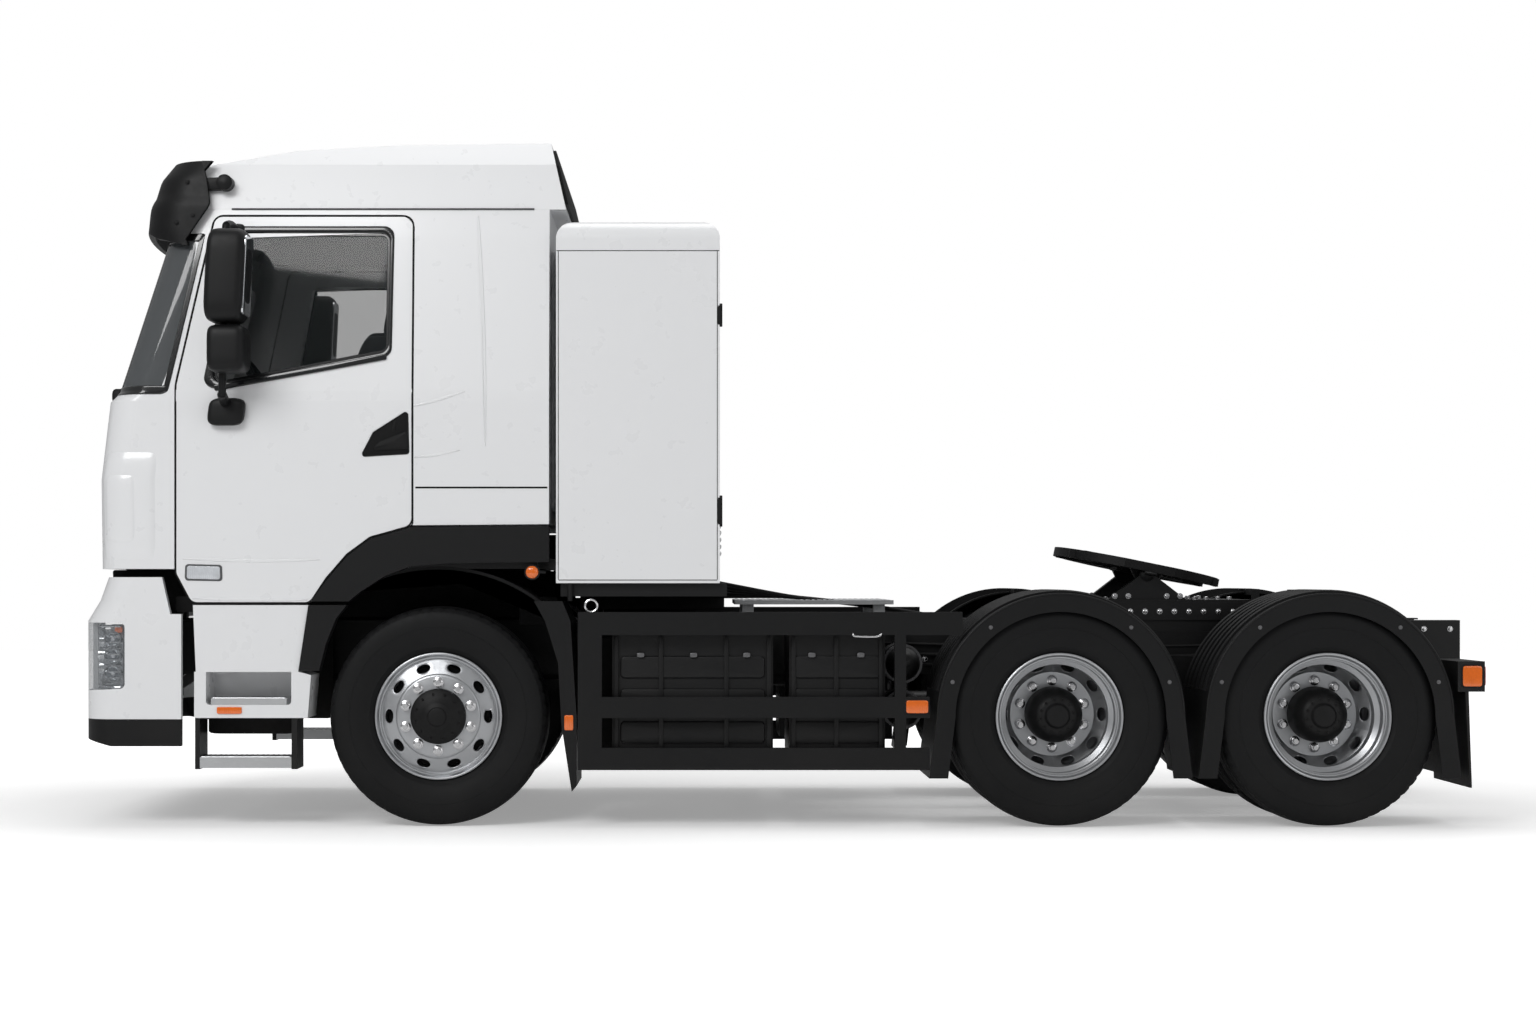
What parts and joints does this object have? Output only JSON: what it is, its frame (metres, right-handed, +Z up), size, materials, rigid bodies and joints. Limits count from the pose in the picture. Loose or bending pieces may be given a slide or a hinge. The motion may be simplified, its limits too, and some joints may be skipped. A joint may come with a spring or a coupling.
{
  "type": "semi truck tractor unit",
  "caption": "Cab-over tractor unit with a tilting cab, doors, steered front wheels, twin drive wheels, a tall cabinet behind the cab and a tilting coupling plate",
  "frame": {"origin": "on the ground under the middle of the vehicle's length and width", "axes": "+X to the rear, +Y to the vehicle's right side, +Z up; it drives towards -X"},
  "size_m": [7.024, 3.18, 3.37],
  "materials": {
    "white_paint": "gloss",
    "black_paint": "satin",
    "black_plastic": "matte",
    "cast": "matte",
    "tyre": "matte",
    "wheel_silver": "satin",
    "glass": "gloss",
    "lamp_lens": "gloss",
    "aluminium": "satin",
    "trim_grey": "matte",
    "cloth": "matte"
  },
  "bodies": {
    "chassis": {"frame": "black_paint", "front_axle": "cast", "drive_axles": "cast", "rear_suspension": "black_paint", "motor": "cast", "prop_shafts": "cast", "side_modules": "black_plastic", "side_guards": "black_paint", "cabinet": "white_paint", "cabinet_cradle": "black_paint", "walkway": "aluminium", "coupler_base": "black_paint", "rear_mudguards": "black_plastic", "rear_lamp_bar": "black_paint", "arch_lowers": "black_plastic", "bumper": "white_paint", "headlamps": "lamp_lens", "bumper_lip": "black_plastic", "step_fairings": "white_paint", "step_treads": "aluminium", "step_hangers": "black_paint"},
    "cab": {"cab_shell": "white_paint", "windscreen": "glass", "cab_roof": "white_paint", "cab_floor": "black_paint", "lower_grille": "black_plastic", "arch_flares": "black_plastic", "sun_visor": "black_plastic", "dashboard": "trim_grey", "seats": "cloth"},
    "flap": {"front_flap": "white_paint"},
    "coupler": {"coupler_plate": "cast"},
    "tie_rod_body": {"tie_rod": "cast"},
    "door_left_body": {"door_left": "white_paint", "door_glass_left": "glass", "mirror_left": "black_plastic"},
    "knuckle_left_body": {"knuckle_left": "cast"},
    "front_wheel_left": {"tyre_front_left": "tyre", "wheel_front_left": "wheel_silver"},
    "drive1_wheels_left": {"tyres_drive1_left": "tyre", "wheels_drive1_left": "wheel_silver"},
    "drive2_wheels_left": {"tyres_drive2_left": "tyre", "wheels_drive2_left": "wheel_silver"},
    "door_right_body": {"door_right": "white_paint", "door_glass_right": "glass", "mirror_right": "black_plastic"},
    "knuckle_right_body": {"knuckle_right": "cast"},
    "front_wheel_right": {"tyre_front_right": "tyre", "wheel_front_right": "wheel_silver"},
    "drive1_wheels_right": {"tyres_drive1_right": "tyre", "wheels_drive1_right": "wheel_silver"},
    "drive2_wheels_right": {"tyres_drive2_right": "tyre", "wheels_drive2_right": "wheel_silver"}
  },
  "joints": [
    {"name": "cab_tilt", "type": "hinge", "parent": "chassis", "child": "cab", "pos_m": [-3.3, 0, 0.9], "axis": [0, -1, 0], "range_deg": [0, 50]},
    {"name": "flap_open", "type": "hinge", "parent": "cab", "child": "flap", "pos_m": [-3.406, 0, 2.052], "axis": [0, 1, 0], "range_deg": [0, 70]},
    {"name": "door_left_open", "type": "hinge", "parent": "cab", "child": "door_left_body", "pos_m": [-2.981, -1.24, 1.8], "axis": [0, 0, -1], "range_deg": [0, 70]},
    {"name": "door_right_open", "type": "hinge", "parent": "cab", "child": "door_right_body", "pos_m": [-2.981, 1.24, 1.8], "axis": [0, 0, 1], "range_deg": [0, 70]},
    {"name": "steer_left", "type": "hinge", "parent": "chassis", "child": "knuckle_left_body", "pos_m": [-1.712, -0.93, 0.54], "axis": [0, 0, 1], "range_deg": [-35, 35]},
    {"name": "steer_right", "type": "hinge", "parent": "chassis", "child": "knuckle_right_body", "pos_m": [-1.712, 0.93, 0.54], "axis": [0, 0, 1], "range_deg": [-35, 35]},
    {"name": "tie_rod_end", "type": "hinge", "parent": "knuckle_left_body", "child": "tie_rod_body", "pos_m": [-1.532, -0.93, 0.46], "axis": [0, 0, 1], "range_deg": [-35, 35]},
    {"name": "coupler_tilt", "type": "hinge", "parent": "chassis", "child": "coupler", "pos_m": [1.898, 0, 1.236], "axis": [0, 1, 0], "range_deg": [-26.5, 0]},
    {"name": "front_spin_left", "type": "hinge", "parent": "knuckle_left_body", "child": "front_wheel_left", "pos_m": [-1.712, -1.02, 0.54], "axis": [0, 1, 0], "continuous": true},
    {"name": "drive1_spin_left", "type": "hinge", "parent": "chassis", "child": "drive1_wheels_left", "pos_m": [1.328, -0.9075, 0.54], "axis": [0, 1, 0], "continuous": true},
    {"name": "drive2_spin_left", "type": "hinge", "parent": "chassis", "child": "drive2_wheels_left", "pos_m": [2.638, -0.9075, 0.54], "axis": [0, 1, 0], "continuous": true},
    {"name": "front_spin_right", "type": "hinge", "parent": "knuckle_right_body", "child": "front_wheel_right", "pos_m": [-1.712, 1.02, 0.54], "axis": [0, 1, 0], "continuous": true},
    {"name": "drive1_spin_right", "type": "hinge", "parent": "chassis", "child": "drive1_wheels_right", "pos_m": [1.328, 0.9075, 0.54], "axis": [0, 1, 0], "continuous": true},
    {"name": "drive2_spin_right", "type": "hinge", "parent": "chassis", "child": "drive2_wheels_right", "pos_m": [2.638, 0.9075, 0.54], "axis": [0, 1, 0], "continuous": true}
  ],
  "couplings": [
    {"joint": "steer_right", "follows": "steer_left", "ratio": 1},
    {"joint": "tie_rod_end", "follows": "steer_left", "ratio": -1}
  ]
}
